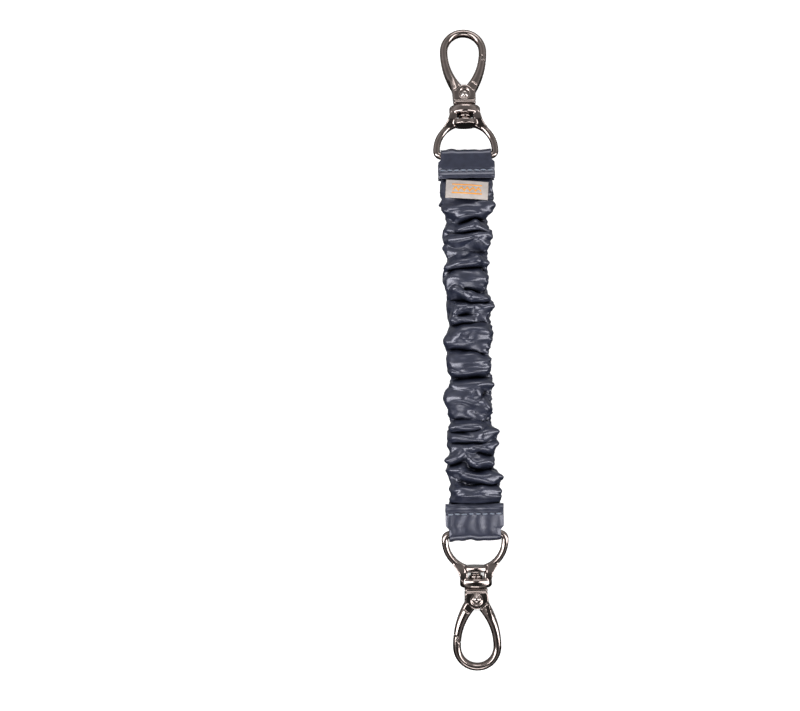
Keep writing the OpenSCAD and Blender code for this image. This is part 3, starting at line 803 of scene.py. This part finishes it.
# A point of the sleeve: s goes round it from the seam, t from the top to the bottom.
def sleevePlace(s, t):
    y = sleeve["top"] + (sleeve["bottom"] - sleeve["top"]) * t
    a = math.tau * s
    left, right = outlineAt(y)
    c, k = math.cos(a), math.sin(a)
    centre, half = (left + right) / 2, (right - left) / 2
    body = smoothStep(78.0, 70.0, y) * smoothStep(-76.0, -70.0, y)
    thick = sleeve["hemHalfThick"] + (sleeve["halfThick"] - sleeve["hemHalfThick"]) * body
    x = centre + half * math.copysign(abs(c) ** sleeve["squareX"], c)
    z = thick * math.copysign(abs(k) ** sleeve["squareZ"], k)
    warpX = noise.noise(Vector((x * 0.10, y * 0.08, 3.1 + k))) * sleeve["warp"]
    warpY = noise.noise(Vector((x * 0.08, y * 0.10, 8.7 + k))) * sleeve["warp"]
    wx, wy = x + 0.3 * warpX, y + 0.3 * warpY
    if k >= 0:
        height, lean = foldHeight(wx, wy, sleeve["folds"])
    else:
        height, lean = foldHeight(-wx, -wy + 3.0, sleeve["folds"])
    broad = noise.noise(Vector(((x + warpX) * 0.09, (y + warpY) * 0.26, 20.0 + 1.2 * k)))
    fine = noise.noise(Vector(((x + warpX) * 0.16, (y - warpY) * 0.55, 40.0 - 1.5 * k)))
    face = abs(k) ** 0.5
    amount, most = sleeve["depth"], sleeve["most"]
    height = most * math.tanh(amount * height * (0.05 + 0.95 * face) / most)
    height += sleeve["broad"] * (math.hypot(broad, 0.1) - 0.22) + sleeve["fine"] * fine
    seamSide = smoothStep(0.72, 0.95, c)
    ruffle = math.sin(y * 2.1 + 3.0 * noise.noise(Vector((y * 0.25, 5, 5))))
    height += seamSide * sleeve["ruffle"] * (ruffle * smoothStep(1.0, 0.9, c) - smoothStep(0.93, 1.0, c))
    height *= body
    nx, nz = c / half, k / max(thick, 0.1)
    n = math.hypot(nx, nz)
    x += height * nx / n
    z += max(height, -0.75 * thick) * nz / n
    y += amount * lean * face * body + 0.5 * body * broad
    return (x, y, max(barZ + z, sleeve["floor"] + 0.1 * fine))


def gatheredSleeve():
    bm = gridSheet(sleeve["around"], sleeve["along"], sleevePlace,
                   (sleeve["flatAround"] * mm, sleeve["flatAlong"] * mm), True)
    return toMetres(thickened(linked("sleeve", bm), sleeve["cloth"]))


piece = gatheredSleeve()
finished(piece, "gathered_sleeve_cloth", None, satin, ["gathered_sleeve"])
stretches(piece)
print("made the sleeve")

elastic = {"half": 7.6, "thick": 1.6, "end": 83.0, "rib": 1.6, "ribHeight": 0.12, "flat": (0.016, 0.166)}


# Flat elastic with a ribbed face, one rib for each rubber core.
def elasticStrip():
    def place(s, t):
        x = (2 * s - 1) * elastic["half"]
        rib = elastic["ribHeight"] * math.cos(x * math.tau / elastic["rib"])
        return (x, (1 - 2 * t) * elastic["end"], barZ + rib)
    return toMetres(thickened(linked("elastic", gridSheet(80, 120, place, elastic["flat"])), elastic["thick"]))


piece = elasticStrip()
finished(piece, "elastic_webbing_strip", None, elasticWeb, ["elastic_webbing"])
stretches(piece)

seam = {"pitch": 2.2, "radius": 0.2, "share": 0.34, "proud": 0.12, "top": 66.0, "bottom": -66.0}


# Small running stitches that follow the sleeve's seam.
def seamStitches():
    bm = bmesh.new()
    y = seam["top"]
    while y > seam["bottom"]:
        at = Vector(sleevePlace(0.0, (y - sleeve["top"]) / (sleeve["bottom"] - sleeve["top"])))
        made = bmesh.ops.create_uvsphere(bm, u_segments=8, v_segments=6, radius=1)["verts"]
        bmesh.ops.scale(bm, verts=made, vec=(seam["radius"], seam["pitch"] * seam["share"], seam["radius"]))
        bmesh.ops.translate(bm, verts=made, vec=at + Vector((seam["proud"], 0, 0)))
        y -= seam["pitch"]
    return toMetres(linked("seam", bm))


piece = seamStitches()
finished(piece, "sleeve_seam_stitches", None, seamThread, ["sleeve_seam_thread"])
stretches(piece)

label = {
    "x": 0.2, "half": 9.85, "top": 75.3, "length": 9.8, "lift": 0.5, "turn": -0.08, "thick": 0.3,
    "flat": (0.0197, 0.0105),
    # the decoration: places of the two rules, their half length and width, then the zigzag's
    "rules": (2.3, 7.0), "ruleHalf": 7.0, "ruleWide": 0.7,
    "zigMiddle": 4.65, "zigHalf": 6.6, "zigHeight": 0.95, "zigWide": 1.15, "zigs": 5,
    "print": 0.07, "printLift": 0.19,
}


# A point of the label: it lies on the slope where the sleeve swells, sewn in at its top.
def labelPoint(x, along, lift):
    t = along / label["length"]
    y = label["top"] - along * 0.93
    slope = smoothStep(76.5, 67.0, y)
    z = barZ + 3.0 + 3.5 * slope + label["lift"] + lift + 0.35 * math.sin(t * 3.1) - 0.006 * x * x
    z += 0.25 * noise.noise(Vector((x * 0.2, along * 0.25, 3)))
    c, k = math.cos(label["turn"]), math.sin(label["turn"])
    return (label["x"] + x * c + along * k, y + x * k, z)


def labelSheet():
    def place(s, t):
        return labelPoint((2 * s - 1) * label["half"], t * label["length"], 0.0)
    return toMetres(thickened(linked("label", gridSheet(40, 20, place, label["flat"])), label["thick"]))


# Generic decoration: a zigzag band between two rules, drawn as flat strips that follow the label.
def labelMark():
    bm = bmesh.new()

    def strip(points, width):
        rows = []
        for x, along in points:
            rows.append([bm.verts.new((x, along + k * width / 2, 0)) for k in (-1, 1)])
        for a, b in zip(rows, rows[1:]):
            bm.faces.new((a[0], a[1], b[1], b[0]))

    for along in label["rules"]:
        strip([(label["ruleHalf"] * (i / 12 - 1), along) for i in range(25)], label["ruleWide"])
    zig = []
    for i in range(41):
        phase = (i / 40 * label["zigs"]) % 1
        rise = abs(2 * phase - 1) * 2 - 1
        zig.append((label["zigHalf"] * (i / 20 - 1), label["zigMiddle"] + label["zigHeight"] * rise))
    strip(zig, label["zigWide"])
    for v in bm.verts:
        v.co = Vector(labelPoint(v.co.x, v.co.y, label["printLift"]))
    bmesh.ops.recalc_face_normals(bm, faces=bm.faces)
    return toMetres(thickened(linked("mark", bm), label["print"]))


piece = labelSheet()
finished(piece, "woven_label", "upper_end", ribbon, ["label"])
piece = labelMark()
finished(piece, "label_decoration", "upper_end", ribbonPrint, ["label_mark"])
print("made the label")


studio = {
    "floorGlow": 0.62, "walls": 1.0,
    # height in the room (0 level, 1 overhead) and brightness
    "room": [(0.0, 0.02), (0.2, 0.05), (0.36, 0.42), (0.6, 0.30), (0.85, 0.06), (1.0, 0.03)],
    # the light at the far end: where it starts, where it is full, and how bright
    "farFrom": -0.18, "farTo": 0.3, "farCeiling": 0.22,
    # name, place, where it points, size, power
    "softboxes": [
        ("left softbox", (-0.50, -0.10, 0.55), (0, -0.02, 0), (0.24, 0.90), 4.6),
        ("right softbox", (0.55, -0.15, 0.50), (0, -0.02, 0), (0.22, 0.90), 3.6),
        ("near softbox", (-0.05, -0.70, 0.50), (0, -0.05, 0), (0.50, 0.30), 1.6),
        ("far softbox", (0.10, 0.75, 0.50), (0, 0.05, 0), (0.50, 0.30), 1.3)],
}


# A white sweep that glows a little. It isn't mirrored in the metal, whose edges stay dark.
def plainFloor():
    bm = bmesh.new()
    bmesh.ops.create_grid(bm, x_segments=1, y_segments=1, size=3)
    floor = linked("floor", bm)
    material, tree, shader = newMaterial("white lit sweep")
    shader.inputs["Base Color"].default_value = linearColour("#f2f2f2")
    shader.inputs["Roughness"].default_value = 0.9
    shader.inputs["Specular IOR Level"].default_value = 0.1
    shader.inputs["Emission Color"].default_value = (1, 1, 1, 1)
    shader.inputs["Emission Strength"].default_value = studio["floorGlow"]
    floor.data.materials.append(material)
    floor.visible_glossy = False


def softbox(name, place, aim, size, power):
    lamp = bpy.data.lights.new(name, "AREA")
    lamp.shape = "RECTANGLE"
    lamp.size, lamp.size_y = size
    lamp.energy = power
    obj = bpy.data.objects.new(name, lamp)
    obj.location = place
    obj.rotation_euler = (Vector(aim) - Vector(place)).to_track_quat("-Z", "Y").to_euler()
    scene.collection.objects.link(obj)


# Grey walls and a dark ceiling, lighter towards the far end: metal that faces up looks black
# between the bright softboxes on its flanks.
def studioLight():
    world = bpy.data.worlds.new("studio")
    world.use_nodes = True
    tree = world.node_tree
    back = tree.nodes["Background"]
    place = addNode(tree, "ShaderNodeTexCoord")
    split = addNode(tree, "ShaderNodeSeparateXYZ", links={"Vector": place.outputs["Generated"]})
    walls = ramp(tree, split.outputs["Z"], studio["room"])
    far = addNode(tree, "ShaderNodeMapRange", {
        "From Min": studio["farFrom"], "From Max": studio["farTo"], "To Min": 0.0, "To Max": studio["farCeiling"],
        "interpolation_type": "SMOOTHSTEP"}, {"Value": split.outputs["Y"]})
    both = addNode(tree, "ShaderNodeMix", {"data_type": "RGBA", "blend_type": "ADD", 0: 1.0},
                   {6: walls.outputs["Color"], 7: far.outputs["Result"]})
    tree.links.new(both.outputs[2], back.inputs["Color"])
    back.inputs["Strength"].default_value = studio["walls"]
    scene.world = world
    for settings in studio["softboxes"]:
        softbox(*settings)


view = {"place": (-0.03325, -0.05729, 0.6), "turn": (0.08716, 0.00078, -0.01904), "sensor": 36,
        "lens": 36 * 1285.95 / 800}


def studioCamera():
    lens = bpy.data.cameras.new("camera")
    lens.sensor_fit = "HORIZONTAL"
    lens.sensor_width = view["sensor"]
    lens.lens = view["lens"]
    lens.clip_start = 0.01
    camera = bpy.data.objects.new("camera", lens)
    camera.location = view["place"]
    camera.rotation_euler = view["turn"]
    scene.collection.objects.link(camera)
    scene.camera = camera


plainFloor()
studioLight()
studioCamera()
scene.view_settings.view_transform = "Standard"
